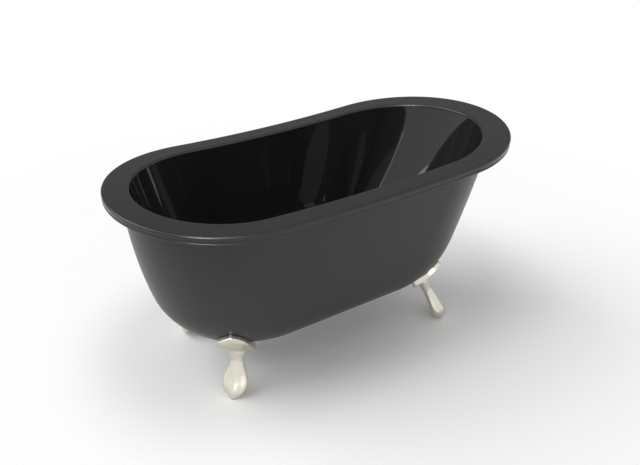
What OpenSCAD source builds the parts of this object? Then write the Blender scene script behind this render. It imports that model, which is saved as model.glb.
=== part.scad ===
// Soaking bathtub with a wide flat rim, a double-skinned body and four cast feet.
// All lengths are in millimetres. The origin is on the floor under the middle of the rim.
// X runs along the tub, with the waste end towards -X, and Z is up.
// The rim rises gently towards both ends, as a saddle: its height grows with the square of x.

/* [Rim] */
// Overall length over the rim
rim_length = 1500; // [1400:1:1600]
// Overall width over the rim
rim_width = 712; // [680:1:750]
// Height of the rim above the floor at the middle of the long sides
rim_height = 721; // [690:1:760]
// Extra height of the rim at its two ends
rim_rise = 37.5; // [20:0.5:46]
// Length of the rim's curved right end over half of its width
rim_round_right = 1.0225; // [0.98:0.0025:1.06]
// Length of the rim's curved left end over half of its width
rim_round_left = 1.039; // [0.98:0.001:1.08]
// Width of the deck at its right end
deck_right = 94; // [88:1:100]
// Width of the deck at its left end
deck_left = 88; // [84:1:100]
// Width of the deck along its sides
deck_side = 74; // [71:1:84]
// Thickness of the deck
deck_thickness = 8; // [7:0.5:10]
// Depth of the outer lip below the top of the deck
lip_depth = 27; // [24:0.5:32]
// Thickness of the outer lip
lip_thickness = 9; // [8:0.5:11]
// Radius of the deck's outer top edge
edge_radius = 6; // [4:0.5:7]
// Radius of the deck's inner edge
inner_radius = 4; // [3:0.5:5]
// Radius of the bead along the lip's lower edge
bead_radius = 3.5; // [2.5:0.25:4]
// How far the lip's face lies back from its bead
lip_setback = 1.5; // [0.5:0.25:2]

/* [Basin] */
// Length of the opening's curved right end over half of its width
opening_round_right = 1.135; // [1.1:0.005:1.15]
// Length of the opening's curved left end over half of its width
opening_round_left = 1.11; // [1.09:0.005:1.13]
// How far the basin's wall stands back from the edge of the opening
reveal = 1; // [0.5:0.25:2]
// Space between the basin and the flat underside of the body
under_space = 77.7; // [75:0.1:88]
// Wall thickness of the basin
basin_wall = 6; // [5:0.5:7]
// Slope of the basin's right end above the floor, from upright
basin_right_low = 35; // [33:0.5:37]
// Slope of the basin's right end at the rim, from upright
basin_right_high = 17; // [15:0.5:18]
// Slope of the basin's left end above the floor, from upright
basin_left_low = 22; // [20:0.5:24]
// Slope of the basin's left end at the rim, from upright
basin_left_high = 14; // [12:0.5:16]
// Slope of the basin's long sides above the corner, from upright
basin_side_low = 11; // [9:0.5:14]
// Slope of the basin's long sides at the rim, from upright
basin_side_high = 5; // [4:0.5:7]
// Radius between the basin's walls and its floor
basin_radius = 120; // [112:1:128]
// Thickness of the flange under the deck
flange_thickness = 6; // [5:0.5:8]
// How much the floor falls towards the drain
floor_fall = 8; // [4:0.5:10]

/* [Outer skin] */
// How far the rim stands out over the skin
rim_overhang = 57; // [54:0.5:59]
// Extra stand-out of the rim over the skin at the right end
right_overhang = 4; // [0:0.5:8]
// Wall thickness of the outer skin
skin_wall = 5; // [4:0.5:6]
// Clear height under the body
body_clearance = 174; // [170:1:178]
// Slope of the skin's right end above the corner, from upright
skin_right_low = 16.4; // [14:0.2:18]
// Slope of the skin's right end at the rim, from upright
skin_right_high = 9.3; // [7:0.1:10]
// Slope of the skin's left end above the corner, from upright
skin_left_low = 16.2; // [14:0.2:18]
// Slope of the skin's left end at the rim, from upright
skin_left_high = 0.5; // [0.5:0.5:3]
// Slope of the skin's long sides above the corner, from upright
skin_side_low = 5; // [4:0.5:6]
// Slope of the skin's long sides at the rim, from upright
skin_side_high = 3.5; // [2:0.5:4]
// Radius between the skin's ends and its flat underside
skin_end_radius = 246; // [238:1:252]
// Radius between the skin's long sides and its flat underside
skin_side_radius = 135; // [128:1:142]

/* [Feet] */
// Place of the right feet round the curved end of the body, from its tip
foot_angle_right = 56.5; // [54:0.5:59]
// Place of the left feet round the curved end of the body, from its tip
foot_angle_left = 52.5; // [50:0.5:55]
// Place of the right feet up the body's lower corner, from its flat underside
foot_corner_right = 54; // [51:0.5:57]
// Place of the left feet up the body's lower corner, from its flat underside
foot_corner_left = 57; // [54:0.5:59]
// Distance of the right soles' middles from the right end of the rim
sole_end_right = 290; // [284:1:296]
// Distance of the right soles' middles from the long sides of the rim
sole_side_right = 119; // [113:1:125]
// Distance of the left soles' middles from the left end of the rim
sole_end_left = 281; // [275:1:287]
// Distance of the left soles' middles from the long sides of the rim
sole_side_left = 149; // [143:1:155]
// Half of the width of a foot's cap
foot_cap_half_width = 54; // [50:1:58]
// Half of the length of a foot's cap along the body
foot_cap_half_length = 52; // [48:1:54]
// Height of a cap over the body at its upper edge
foot_cap_top = 14; // [12:0.5:16]
// Height of a cap over the body at its middle
foot_cap_middle = 19; // [18:0.5:22]
// Height of a cap over the body at its lower edge
foot_cap_bottom = 34; // [30:0.5:36]
// Girth of a leg, 1 as in the photo
leg_girth = 1; // [0.92:0.02:1.06]
// Radius of a foot's flat sole
sole_radius = 14; // [12:0.5:15]
// Thickness of the rubber pad under a sole
pad_thickness = 3; // [2:0.5:4]
// Diameter of the stud that holds a foot
stud_d = 12; // [10:1:12]

/* [Inner frame] */
// Thickness of the base board under the basin
board_thickness = 18; // [16:0.5:19]
// Distance of the base board's ends from the ends of the rim
board_end_inset = 380; // [372:1:400]
// Distance of the base board's sides from the long sides of the rim
board_side_inset = 244; // [240:1:248]
// How far the base board runs past the rails at each end
rail_end_inset = 100; // [92:1:110]
// Distance of each rail's middle from the side of the base board
rail_side_inset = 24; // [22:1:28]
// Width of a rail
rail_width = 40; // [36:1:42]
// Sheet thickness of a rail
rail_wall = 3; // [2.5:0.5:4]
// Thickness of the plates that take the foot studs
anchor_thickness = 6; // [5:0.5:8]
// Distance of each cross brace from the middle of the tub
brace_offset = 150; // [120:1:200]
// Width of a cross brace
brace_width = 30; // [25:1:40]

/* [Waste] */
// Distance of the drain from the left end of the rim
drain_inset = 465; // [460:1:470]
// Diameter of the drain's barrel
barrel_d = 46; // [44:1:48]
// Diameter of the drain's flange
drain_flange_d = 74; // [70:1:78]
// Travel of the stopper
stopper_travel = 10; // [8:0.5:12]
// Depth of the overflow's middle below the underside of the deck
overflow_drop = 100; // [95:1:105]
// Diameter of the overflow's face plate
overflow_plate_d = 74; // [68:1:78]
// Outer diameter of the overflow pipe
overflow_pipe_d = 25; // [22:1:26]
// Bend radius of the overflow pipe
overflow_bend = 178; // [170:1:184]
// Outer diameter of the drain pipe
drain_pipe_d = 34; // [32:1:36]
// Distance of the tee from the drain
tee_distance = 87; // [85:1:91]
// Height of the waste pipes above the flat underside of the body
pipe_height = 33; // [31:0.5:34]
// Outer diameter of the tailpiece
tailpiece_d = 40; // [38:1:40]
// Height of the tailpiece's lower end above the floor
tailpiece_end = 60; // [40:1:64]
// Length of the tailpiece's free end, up to its bead
tailpiece_free = 100; // [80:1:103]

/* [Hidden] */

// Gap between faces that seat on each other
seat = 0.3;
// Gap round a shank in its hole, on the radius
loose = 0.5;
// Running clearance of the stopper's stem, on the radius
running = 0.06;
// Play left where a pipe stands in a socket, on the radius
pipe_fit = 0.3;

half_length = rim_length/2;
half_width = rim_width/2;
deck_under = rim_height - deck_thickness;
basin_top = deck_under - seat;
flange_under = basin_top - flange_thickness;
skin_top = flange_under - seat;
skin_depth = skin_top - body_clearance;
basin_under = body_clearance + under_space;
basin_floor = basin_under + basin_wall;
basin_depth = basin_top - basin_floor;

// Steps round a quarter of a curved end, and along a straight side
end_steps = 14;
side_steps = 8;

// An oval is given as [right, left, half width, length of right end, length of left end]
function oval(o) = concat(
  [for (i = [0:end_steps - 1]) let (a = 90*i/end_steps) [o[0] - o[3] + o[3]*cos(a), o[2]*sin(a)]],
  [for (i = [0:side_steps - 1]) let (s = i/side_steps) [(o[0] - o[3])*(1 - s) + (o[4] - o[1])*s, o[2]]],
  [for (i = [0:2*end_steps - 1]) let (a = 90 + 90*i/end_steps) [o[4] - o[1] + o[4]*cos(a), o[2]*sin(a)]],
  [for (i = [0:side_steps - 1]) let (s = i/side_steps) [(o[4] - o[1])*(1 - s) + (o[0] - o[3])*s, -o[2]]],
  [for (i = [0:end_steps - 1]) let (a = 270 + 90*i/end_steps) [o[0] - o[3] + o[3]*cos(a), o[2]*sin(a)]]
);
function grown(o, d) = [for (v = o) v + d];
function saddle(x, share) = rim_rise*pow(x/half_length, 2)*share;
function ring(o, z, share) = [for (p = oval(o)) [p.x, p.y, z + saddle(p.x, share)]];
function unit(v) = v/norm(v);
function mix(a, b, s) = a*(1 - s) + b*s;

rim_oval = [
  half_length, half_length, half_width, half_width*rim_round_right, half_width*rim_round_left
];
opening_half = half_width - deck_side;
opening_oval = [
  half_length - deck_right, half_length - deck_left, opening_half,
  opening_half*opening_round_right, opening_half*opening_round_left
];
basin_oval = grown(opening_oval, reveal);

// Distance of a wall from its top edge, seen from above, at height h over its flat bottom.
// Above the corner the slope changes evenly from low to high.
function wall_turn(low, radius) = radius*(1 - sin(low));
function wall_inset(h, depth, low, high, radius) =
  let (turn = wall_turn(low, radius), v = max(0, (h - turn)/(depth - turn)))
  let (straight = (depth - turn)*(tan(low)*(1 - v) + (tan(high) - tan(low))*(1 - v*v)/2))
  h >= turn ? straight
    : straight + radius*cos(low) - sqrt(max(0, radius*radius - (radius - h)*(radius - h)));

// Heights of the rings of a wall: closely spaced in its corner, widely above it
function wall_heights(depth, radius, step, rows) =
  let (corner = [for (a = [0:step:66]) radius*(1 - cos(a))], last = corner[len(corner) - 1])
  concat(corner, [for (i = [1:rows]) mix(last, depth, i/rows)]);

// Outer skin: oval at height h over its underside, moved inwards by t
skin_right_top = half_length - rim_overhang - right_overhang;
skin_left_top = half_length - rim_overhang;
skin_half_top = half_width - rim_overhang;
skin_ratio_top = 1.11;
skin_ratio_bottom = 1.263;
function skin_side_inset(h, t, low, high, radius) =
  t/cos(high) + wall_inset(h - t, skin_depth - t, low, high, radius - t);
function skin_oval(h, t) =
  let (half = skin_half_top - skin_side_inset(h, t, skin_side_low, skin_side_high, skin_side_radius))
  let (end = half*mix(skin_ratio_bottom, skin_ratio_top, h/skin_depth))
  [
    skin_right_top - skin_side_inset(h, t, skin_right_low, skin_right_high, skin_end_radius),
    skin_left_top - skin_side_inset(h, t, skin_left_low, skin_left_high, skin_end_radius),
    half, end, end
  ];
function skin_ring(h, t) = ring(skin_oval(h, t), body_clearance + h, h/skin_depth);

// Basin: oval of its inner face at height h over its floor, moved outwards by t
function basin_side_inset(h, t, low, high) =
  wall_inset(h + t, basin_depth + t, low, high, basin_radius + t) - t/cos(high);
function basin_shape(h, t) =
  let (half = basin_oval[2] - basin_side_inset(h, t, basin_side_low, basin_side_high))
  [
    basin_oval[0] - basin_side_inset(h, t, basin_right_low, basin_right_high),
    basin_oval[1] - basin_side_inset(h, t, basin_left_low, basin_left_high),
    half, half*basin_oval[3]/basin_oval[2], half*basin_oval[4]/basin_oval[2]
  ];
floor_left = -basin_shape(0, 0)[1];
floor_right = basin_shape(0, 0)[0];
// The floor is a slightly tilted plane, lowest at the left, and the tilt fades out up the walls
function floor_lift(x, h) =
  floor_fall*(x - floor_left)/(floor_right - floor_left)*pow(1 - h/basin_depth, 3);
function basin_ring(h, t) = ring(basin_shape(h, t), basin_floor + h, max(0, h/basin_depth));
function basin_inner_ring(h) = [for (p = basin_ring(h, 0)) [p.x, p.y, p.z + floor_lift(p.x, h)]];

// Solid between rings stacked along their common direction, closed by its flat first and last ring
function loft_sides(count, rows) = [
  for (k = [0:rows - 2], i = [0:count - 1]) let (j = (i + 1)%count)
    each [
      [k*count + i, (k + 1)*count + i, (k + 1)*count + j],
      [k*count + i, (k + 1)*count + j, k*count + j]
    ]
];
module loft(rings) {
  count = len(rings[0]);
  rows = len(rings);
  bottom = [[for (i = [0:count - 1]) i]];
  top = [[for (i = [0:count - 1]) rows*count - 1 - i]];
  polyhedron([for (r = rings) each r], concat(bottom, loft_sides(count, rows), top), convexity = 6);
}
// The same, with its curved ends closed by fans to two given points
module loft_to_points(rings, first, last) {
  count = len(rings[0]);
  rows = len(rings);
  a = rows*count;
  b = a + 1;
  c = (rows - 1)*count;
  bottom = [for (i = [0:count - 1]) [a, i, (i + 1)%count]];
  top = [for (i = [0:count - 1]) [b, c + (i + 1)%count, c + i]];
  polyhedron(concat([for (r = rings) each r], [first, last]),
    concat(bottom, loft_sides(count, rows), top), convexity = 6);
}
// The same, closed on itself
module loft_loop(rings) {
  count = len(rings[0]);
  rows = len(rings);
  seam = [
    for (i = [0:count - 1]) let (j = (i + 1)%count, k = (rows - 1)*count)
      each [[k + i, i, j], [k + i, j, k + j]]
  ];
  polyhedron([for (r = rings) each r], concat(loft_sides(count, rows), seam), convexity = 6);
}

// Section of the rim: [1 from the outer edge or 0 from the opening, distance outwards, height]
bead_end = acos(1 - lip_setback/bead_radius);
edge_start = acos(1 - lip_setback/edge_radius);
function bead_at(a) = [1, bead_radius*(cos(a) - 1), bead_radius*(1 + sin(a)) - lip_depth];
function edge_at(a) = [1, edge_radius*(cos(a) - 1), edge_radius*(sin(a) - 1)];
rim_section = concat(
  [[1, -lip_thickness, -lip_depth]],
  [for (a = [-90, -60, -30, 0, bead_end/2, bead_end]) bead_at(a)],
  [for (a = [-edge_start, -edge_start/2, 0, 22.5, 45, 67.5, 90]) edge_at(a)],
  [for (a = [90:22.5:180]) [0, inner_radius*(1 + cos(a)), inner_radius*(sin(a) - 1)]],
  [[0, 0, -deck_thickness], [1, -lip_thickness, -deck_thickness]]
);

module rim() {
  color([0.05, 0.05, 0.055])
    loft_loop([
      for (s = rim_section) ring(grown(s[0] == 1 ? rim_oval : opening_oval, s[1]), rim_height + s[2], 1)
    ]);
}

// Overflow: its axis is square to the left end wall
overflow_h = basin_depth - overflow_drop;
function end_wall(h) =
  let (x = -basin_shape(h, 0)[1])
  [x, 0, basin_floor + h + saddle(x, h/basin_depth)];
overflow_place = end_wall(overflow_h);
overflow_rise = end_wall(overflow_h + 5) - end_wall(overflow_h - 5);
overflow_lean = atan(-overflow_rise.x/overflow_rise.z);
overflow_hole_r = 22;
gasket_r = 26;
// Sunk flats for the plate inside and for the gasket outside
plate_sink = 0.5;
gasket_sink = 1;

// Places children with their origin on the wall's inner face, +Z pointing into the basin
module at_overflow() {
  translate(overflow_place)
    rotate([0, 90 - overflow_lean, 0])
      children();
}

drain_x = drain_inset - half_length;
drain_floor = basin_floor + floor_lift(drain_x, 0);
drain_seat = drain_floor - 2;
barrel_r = barrel_d/2;
drain_flange_r = drain_flange_d/2;

module basin() {
  outer = [for (h = wall_heights(basin_depth + basin_wall - flange_thickness, basin_radius, 11, 5))
    basin_ring(h - basin_wall, basin_wall)];
  inner = wall_heights(basin_depth, basin_radius, 8.25, 6);
  edge = grown(skin_oval(skin_depth, 0), -reveal);
  color([0.01, 0.01, 0.012])
    difference() {
      loft(concat(
        outer,
        [ring(edge, flange_under, 1), ring(edge, basin_top, 1)],
        [for (i = [len(inner) - 1:-1:0]) basin_inner_ring(inner[i])]
      ));
      translate([drain_x, 0, basin_under - 1])
        cylinder(r = barrel_r + loose, h = basin_wall + floor_fall + 2, $fn = 96);
      translate([drain_x, 0, drain_seat])
        cylinder(r = drain_flange_r + 1, h = 30, $fn = 96);
      at_overflow() {
        translate([0, 0, -3*basin_wall])
          cylinder(r = overflow_hole_r, h = 6*basin_wall, $fn = 96);
        translate([0, 0, -plate_sink])
          cylinder(r = overflow_plate_d/2 + 1, h = 20, $fn = 96);
        translate([0, 0, gasket_sink - basin_wall - 20])
          cylinder(r = gasket_r + 1, h = 20, $fn = 96);
      }
    }
}

// Feet. Each is set on the smooth surface of the body's lower corner; end is 1 right and -1 left.
function foot_angle(end) = end > 0 ? foot_angle_right : foot_angle_left;
function foot_corner(end) = end > 0 ? foot_corner_right : foot_corner_left;
function corner_height(corner) = skin_side_radius*(1 - cos(corner));
function skin_point(end, h, a) =
  let (o = skin_oval(h, 0), start = end > 0 ? o[0] - o[3] : o[1] - o[4])
  let (x = end*(start + o[3]*cos(a)))
  [x, o[2]*sin(a), body_clearance + h + saddle(x, h/skin_depth)];
function skin_normal(end, h, a) =
  end*unit(cross(
    skin_point(end, h, a + 0.5) - skin_point(end, h, a - 0.5),
    skin_point(end, h + 0.5, a) - skin_point(end, h - 0.5, a)
  ));
function foot_place(end) = skin_point(end, corner_height(foot_corner(end)), foot_angle(end));
function foot_normal(end) = skin_normal(end, corner_height(foot_corner(end)), foot_angle(end));

// Brings children from the origin to a foot's place, +Z pointing out of the body
module at_foot(end) {
  n = foot_normal(end);
  translate(foot_place(end))
    rotate([0, acos(n.z), atan2(n.y, n.x)])
      children();
}
module at_all_feet() {
  for (end = [-1, 1]) {
    at_foot(end)
      children();
    mirror([0, 1, 0])
      at_foot(end)
        children();
  }
}

stud_r = stud_d/2;
stud_in_foot = 14;
// The anchor plate lies flat against the curved skin, so its middle stands off by the sagitta
anchor_r = 20;
anchor_gap = skin_wall + seat + anchor_r*anchor_r/(2*(skin_side_radius - skin_wall));
washer_thickness = 2.5;
nut_thickness = 10;
anchor_top = anchor_gap + anchor_thickness;
stud_top = anchor_top + seat + washer_thickness + seat + nut_thickness + 3;
tee_x = drain_x - tee_distance;
tailpiece_r = tailpiece_d/2;
// The tailpiece is a little slimmer above its bead
tail_neck_r = tailpiece_r - 0.5;
grommet_r = tailpiece_r + 4;

module outer_skin() {
  outer = wall_heights(skin_depth, skin_end_radius, 6, 6);
  inner = wall_heights(skin_depth - skin_wall, skin_end_radius - skin_wall, 8.25, 6);
  color([0.05, 0.05, 0.055])
    difference() {
      loft(concat(
        [for (h = outer) skin_ring(h, 0)],
        [for (i = [len(inner) - 1:-1:0]) skin_ring(inner[i] + skin_wall, skin_wall)]
      ));
      at_all_feet()
        translate([0, 0, -2*skin_wall])
          cylinder(r = stud_r + loose, h = 4*skin_wall, $fn = 48);
      translate([tee_x, 0, body_clearance - 1])
        cylinder(r = grommet_r, h = skin_wall + 2, $fn = 96);
    }
}

// Cap of a foot: a plate on the curved body, given by u across it and w up it, both -1 to 1.
// It grows thicker towards its lower edge, and leaves a gap to the body there.
foot_cap_steps = 32;
foot_cap_peak = 1.25;
foot_cap_roof = 0.45;
foot_cap_twist = 0.2;
foot_cap_gap = 10;
// Gap between cap and body at the cap's other edges
foot_cap_seat = seat + 0.4;
function rounded(v, power) = sign(v)*pow(abs(v), power);
function cap_point(end, u, w, level) =
  let (start = foot_angle(end))
  let (up = w + foot_cap_twist*u, low = max(0, -up), high = max(0, up))
  let (h = corner_height(foot_corner(end) + up*foot_cap_half_length/skin_side_radius*180/PI))
  let (o = skin_oval(h, 0), slant = norm([o[3]*sin(start), o[2]*cos(start)]))
  let (a = start + u*foot_cap_half_width/slant*180/PI)
  let (outer = mix(foot_cap_middle, foot_cap_top, high) + (foot_cap_bottom - foot_cap_middle)*low)
  skin_point(end, h, a) + mix(foot_cap_seat + foot_cap_gap*low*low, outer, level)*skin_normal(end, h, a);
function cap_ring(end, share, level) = [
  for (i = [0:foot_cap_steps - 1])
    let (angle = end*360*i/foot_cap_steps)
    let (u = rounded(cos(angle), 0.5), v = sin(angle))
    let (w = v > 0 ? pow(v, 0.6)*(foot_cap_peak - foot_cap_roof*abs(u)) : rounded(v, 0.5))
    cap_point(end, share*u, share*w, level)
];

module foot_cap(end) {
  loft_to_points(
    [
      cap_ring(end, 0.34, 0),
      cap_ring(end, 0.68, 0),
      cap_ring(end, 1, 0),
      cap_ring(end, 1, 0.8),
      cap_ring(end, 0.98, 0.94),
      cap_ring(end, 0.94, 1),
      cap_ring(end, 0.65, 1),
      cap_ring(end, 0.34, 1)
    ],
    cap_point(end, 0, 0, 0),
    cap_point(end, 0, 0, 1)
  );
}

// Leg: rings along a curve from inside the cap's thick lower part down to the sole.
// Each row is [place along the leg, half width, half depth].
leg_rows = [
  [0, 40, 26], [0.08, 37, 24], [0.18, 31, 21], [0.28, 27, 18.5], [0.38, 25.7, 17.5],
  [0.5, 30, 18.5], [0.58, 35, 20], [0.65, 40, 21.5], [0.72, 44.5, 23.5], [0.78, 45, 26.5],
  [0.85, 41, 29], [0.91, 33.5, 28], [0.96, 24.5, 22.5], [1, sole_radius, sole_radius]
];
leg_steps = 28;
// Control points of the curve: [distance inwards from the sole's middle, height]
leg_top_right = [60, 195];
leg_top_left = [40, 180];
function leg_path(end) =
  [end > 0 ? leg_top_right : leg_top_left, [102, 140], [14, 62], [0, pad_thickness]];
function curve(p, s) =
  p[0]*pow(1 - s, 3) + 3*p[1]*s*pow(1 - s, 2) + 3*p[2]*s*s*(1 - s) + p[3]*pow(s, 3);
function sole_x(end) = end*half_length - end*(end > 0 ? sole_end_right : sole_end_left);
function sole_y(end) = half_width - (end > 0 ? sole_side_right : sole_side_left);
function inwards(end) = [-end, -1, 0]/sqrt(2);
function leg_point(end, s) =
  let (p = curve(leg_path(end), s))
  [sole_x(end), sole_y(end), p.y] + p.x*inwards(end);
function leg_ring(end, row) =
  let (s = row[0], girth = s == 1 ? 1 : leg_girth)
  let (run = leg_point(end, min(1, s + 0.01)) - leg_point(end, max(0, s - 0.01)))
  let (way = unit(mix(unit(run), [0, 0, -1], s*s)))
  let (side = cross(inwards(end), [0, 0, 1]), front = unit(cross(way, side)))
  [
    for (i = [0:leg_steps - 1]) let (a = 360*i/leg_steps)
      leg_point(end, s) + girth*(row[1]*cos(a)*side + row[2]*sin(a)*front)
  ];

module foot_leg(end) {
  loft([for (row = leg_rows) leg_ring(end, row)]);
}

module foot(end) {
  color([0.78, 0.76, 0.68])
    difference() {
      union() {
        foot_cap(end);
        foot_leg(end);
      }
      at_foot(end)
        translate([0, 0, -1])
          cylinder(r = stud_r + seat, h = stud_in_foot + 2, $fn = 48);
    }
}

module front_left_foot() {
  mirror([0, 1, 0])
    foot(-1);
}
module front_right_foot() {
  mirror([0, 1, 0])
    foot(1);
}
module back_left_foot() {
  foot(-1);
}
module back_right_foot() {
  foot(1);
}

module foot_pad(end, side) {
  color([0.03, 0.03, 0.03])
    translate([sole_x(end), side*sole_y(end), 0])
      cylinder(r = sole_radius - 1, h = pad_thickness - seat, $fn = 64);
}
module front_left_pad() {
  foot_pad(-1, -1);
}
module front_right_pad() {
  foot_pad(1, -1);
}
module back_left_pad() {
  foot_pad(-1, 1);
}
module back_right_pad() {
  foot_pad(1, 1);
}

module foot_studs() {
  color([0.7, 0.7, 0.72])
    at_all_feet()
      translate([0, 0, -stud_top])
        cylinder(r = stud_r, h = stud_top + stud_in_foot, $fn = 48);
}
module foot_washers() {
  color([0.7, 0.7, 0.72])
    at_all_feet()
      translate([0, 0, -anchor_top - seat - washer_thickness])
        difference() {
          cylinder(r = 12.5, h = washer_thickness, $fn = 64);
          translate([0, 0, -1])
            cylinder(r = stud_r + loose, h = washer_thickness + 2, $fn = 48);
        }
}
module foot_nuts() {
  color([0.7, 0.7, 0.72])
    at_all_feet()
      translate([0, 0, -anchor_top - 2*seat - washer_thickness - nut_thickness])
        difference() {
          cylinder(r = 11, h = nut_thickness, $fn = 6);
          translate([0, 0, -1])
            cylinder(r = stud_r + seat, h = nut_thickness + 2, $fn = 48);
        }
}

// Base board under the basin, the rails under it and the braces between the rails
board_top = basin_under - seat;
board_under = board_top - board_thickness;
rail_top = board_under - seat;
rail_bottom = body_clearance + skin_wall + seat;
rail_height = rail_top - rail_bottom;
shoe_r = 33;
board_half_length = half_length - board_end_inset;
board_half_width = half_width - board_side_inset;
rail_half_length = board_half_length - rail_end_inset;
rail_offset = board_half_width - rail_side_inset;
screw_places = [for (s = [-0.74, -0.3, 0.3, 0.74]) s*rail_half_length];
// Bores through the anchor plates: one for the stud and one that leaves room for the nut
bore_length = 60;
nut_room_r = 14;
brace_height = 20;
brace_z = rail_bottom + 15;

module base_board() {
  color([0.75, 0.6, 0.4])
    difference() {
      translate([-board_half_length, -board_half_width, board_under])
        cube([2*board_half_length, 2*board_half_width, board_thickness]);
      translate([drain_x, 0, board_under - 1])
        cylinder(r = shoe_r + 8, h = board_thickness + 2, $fn = 96);
      for (x = screw_places, y = [-rail_offset, rail_offset])
        translate([x, y, board_under - 1])
          cylinder(r = 2 + seat, h = 14, $fn = 32);
    }
}

module rail(side) {
  color([0.35, 0.36, 0.38])
    difference() {
      union() {
        translate([-rail_half_length, side*rail_offset - rail_width/2, rail_bottom])
          cube([2*rail_half_length, rail_width, rail_height]);
        for (end = [-1, 1])
          hull() {
            translate([end*rail_half_length - 2, side*rail_offset - 0.4*rail_width, rail_bottom + 5])
              cube([4, 0.8*rail_width, 32]);
            anchor(end, side);
          }
      }
      translate([rail_wall - rail_half_length, side*rail_offset - rail_width/2 + rail_wall,
        rail_bottom + rail_wall])
        cube([2*rail_half_length - 2*rail_wall, rail_width - 2*rail_wall, rail_height - 2*rail_wall]);
      for (x = screw_places)
        translate([x, side*rail_offset, rail_top - 2*rail_wall])
          cylinder(r = 2 + loose, h = 4*rail_wall, $fn = 32);
      for (x = [-brace_offset, brace_offset])
        translate([x, side*(rail_offset - rail_width/2), brace_z + brace_height/2])
          rotate([90, 0, 0])
            cylinder(r = bolt_r + loose, h = 4*rail_wall, center = true, $fn = 32);
      for (end = [-1, 1])
        side_foot(end, side)
          translate([0, 0, -anchor_top - bore_length])
            cylinder(r = stud_r + loose, h = 2*bore_length, $fn = 48);
      for (end = [-1, 1])
        side_foot(end, side)
          translate([0, 0, -anchor_top - bore_length])
            cylinder(r = nut_room_r, h = bore_length, $fn = 64);
    }
}
module side_foot(end, side) {
  if (side > 0)
    at_foot(end)
      children();
  if (side < 0)
    mirror([0, 1, 0])
      at_foot(end)
        children();
}
module anchor(end, side) {
  side_foot(end, side)
    translate([0, 0, -anchor_top])
      cylinder(r = anchor_r, h = anchor_thickness, $fn = 32);
}
module front_rail() {
  rail(-1);
}
module back_rail() {
  rail(1);
}

bolt_r = 3;
// Braces are channels open at the top, their end tabs bolted to the rails
module brace(x) {
  length = 2*(rail_offset - rail_width/2 - seat);
  color([0.35, 0.36, 0.38])
    difference() {
      translate([x - brace_width/2, -length/2, brace_z])
        cube([brace_width, length, brace_height]);
      translate([x - brace_width/2 + rail_wall, rail_wall - length/2, brace_z + rail_wall])
        cube([brace_width - 2*rail_wall, length - 2*rail_wall, brace_height]);
      for (side = [-1, 1])
        translate([x, side*length/2, brace_z + brace_height/2])
          rotate([90, 0, 0])
            cylinder(r = bolt_r + loose, h = 4*rail_wall, center = true, $fn = 32);
    }
}
module left_brace() {
  brace(-brace_offset);
}
module right_brace() {
  brace(brace_offset);
}
module brace_bolts() {
  inner = rail_offset - rail_width/2 - seat - rail_wall - seat;
  color([0.7, 0.7, 0.72])
    for (x = [-brace_offset, brace_offset], side = [-1, 1])
      translate([x, side*inner, brace_z + brace_height/2])
        rotate([-side*90, 0, 0])
          union() {
            translate([0, 0, -4])
              cylinder(r = 5, h = 4, $fn = 6);
            cylinder(r = bolt_r, h = 12, $fn = 32);
          }
}
module board_screws() {
  color([0.7, 0.7, 0.72])
    for (x = screw_places, y = [-rail_offset, rail_offset])
      translate([x, y, rail_top - rail_wall - seat])
        union() {
          translate([0, 0, -3])
            cylinder(r = 4.5, h = 3, $fn = 48);
          cylinder(r = 2, h = rail_wall + 13, $fn = 32);
        }
}

// Drain
pipe_z = body_clearance + pipe_height;
drain_pipe_r = drain_pipe_d/2;
pipe_wall = 2.5;
gasket_thickness = 3;
shoe_top = basin_under - seat - gasket_thickness - seat;
shoe_bend = 28;
barrel_bottom = shoe_top - 11;
hub_height = 6;
sleeve_r = 6;
sleeve_flange_r = 8.5;
sleeve_top = barrel_bottom + hub_height + seat;
sleeve_length = 12;
stem_r = 4;
flange_bottom = drain_seat + seat;
flange_top = flange_bottom + 4;
bore_r = barrel_r - 3;
dish_r = drain_flange_r - 6;
cap_r = 29;
seal_r = 24;
// The seal rests on the flange's dish, which rises evenly from the bore to the dish's edge
seal_bottom = flange_top - 3 + 3*(seal_r - bore_r)/(dish_r - bore_r) + seat;
seal_thickness = 2.5;
cap_bottom = max(seal_bottom + seal_thickness, flange_top) + seat;

module drain_flange() {
  color([0.85, 0.85, 0.87])
    translate([drain_x, 0, 0])
      difference() {
        union() {
          rotate_extrude($fn = 128)
            polygon([
              [bore_r, barrel_bottom],
              [barrel_r, barrel_bottom],
              [barrel_r, flange_bottom],
              [drain_flange_r, flange_bottom],
              [drain_flange_r, flange_bottom + 1.5],
              [drain_flange_r - 3, flange_top],
              [dish_r, flange_top],
              [bore_r, flange_top - 3]
            ]);
          for (a = [0, 120, 240])
            rotate([0, 0, a])
              translate([sleeve_flange_r - 0.5, -2, barrel_bottom])
                cube([bore_r - sleeve_flange_r + 1.5, 4, hub_height]);
          translate([0, 0, barrel_bottom])
            cylinder(r = sleeve_flange_r, h = hub_height, $fn = 64);
        }
        translate([0, 0, barrel_bottom - 1])
          cylinder(r = sleeve_r + seat, h = hub_height + 2, $fn = 64);
      }
}
module drain_gasket() {
  color([0.04, 0.04, 0.04])
    translate([drain_x, 0, shoe_top + seat])
      difference() {
        cylinder(r = shoe_r - 1, h = gasket_thickness, $fn = 96);
        translate([0, 0, -1])
          cylinder(r = barrel_r + loose, h = gasket_thickness + 2, $fn = 96);
      }
}

// Bends are a little slimmer than the straight pipes that they run into
bend_slim = 0.5;
bend_lap = 2;
// Quarter bend from straight up to the left, with laps at both ends
module quarter_bend(bend, r) {
  translate([-bend, 0, bend])
    rotate([-90, 0, 0])
      rotate([0, 0, -bend_lap])
        rotate_extrude(angle = 90 + 2*bend_lap, $fn = 128)
          translate([bend, 0])
            circle(r = r - bend_slim, $fn = 64);
}
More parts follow.
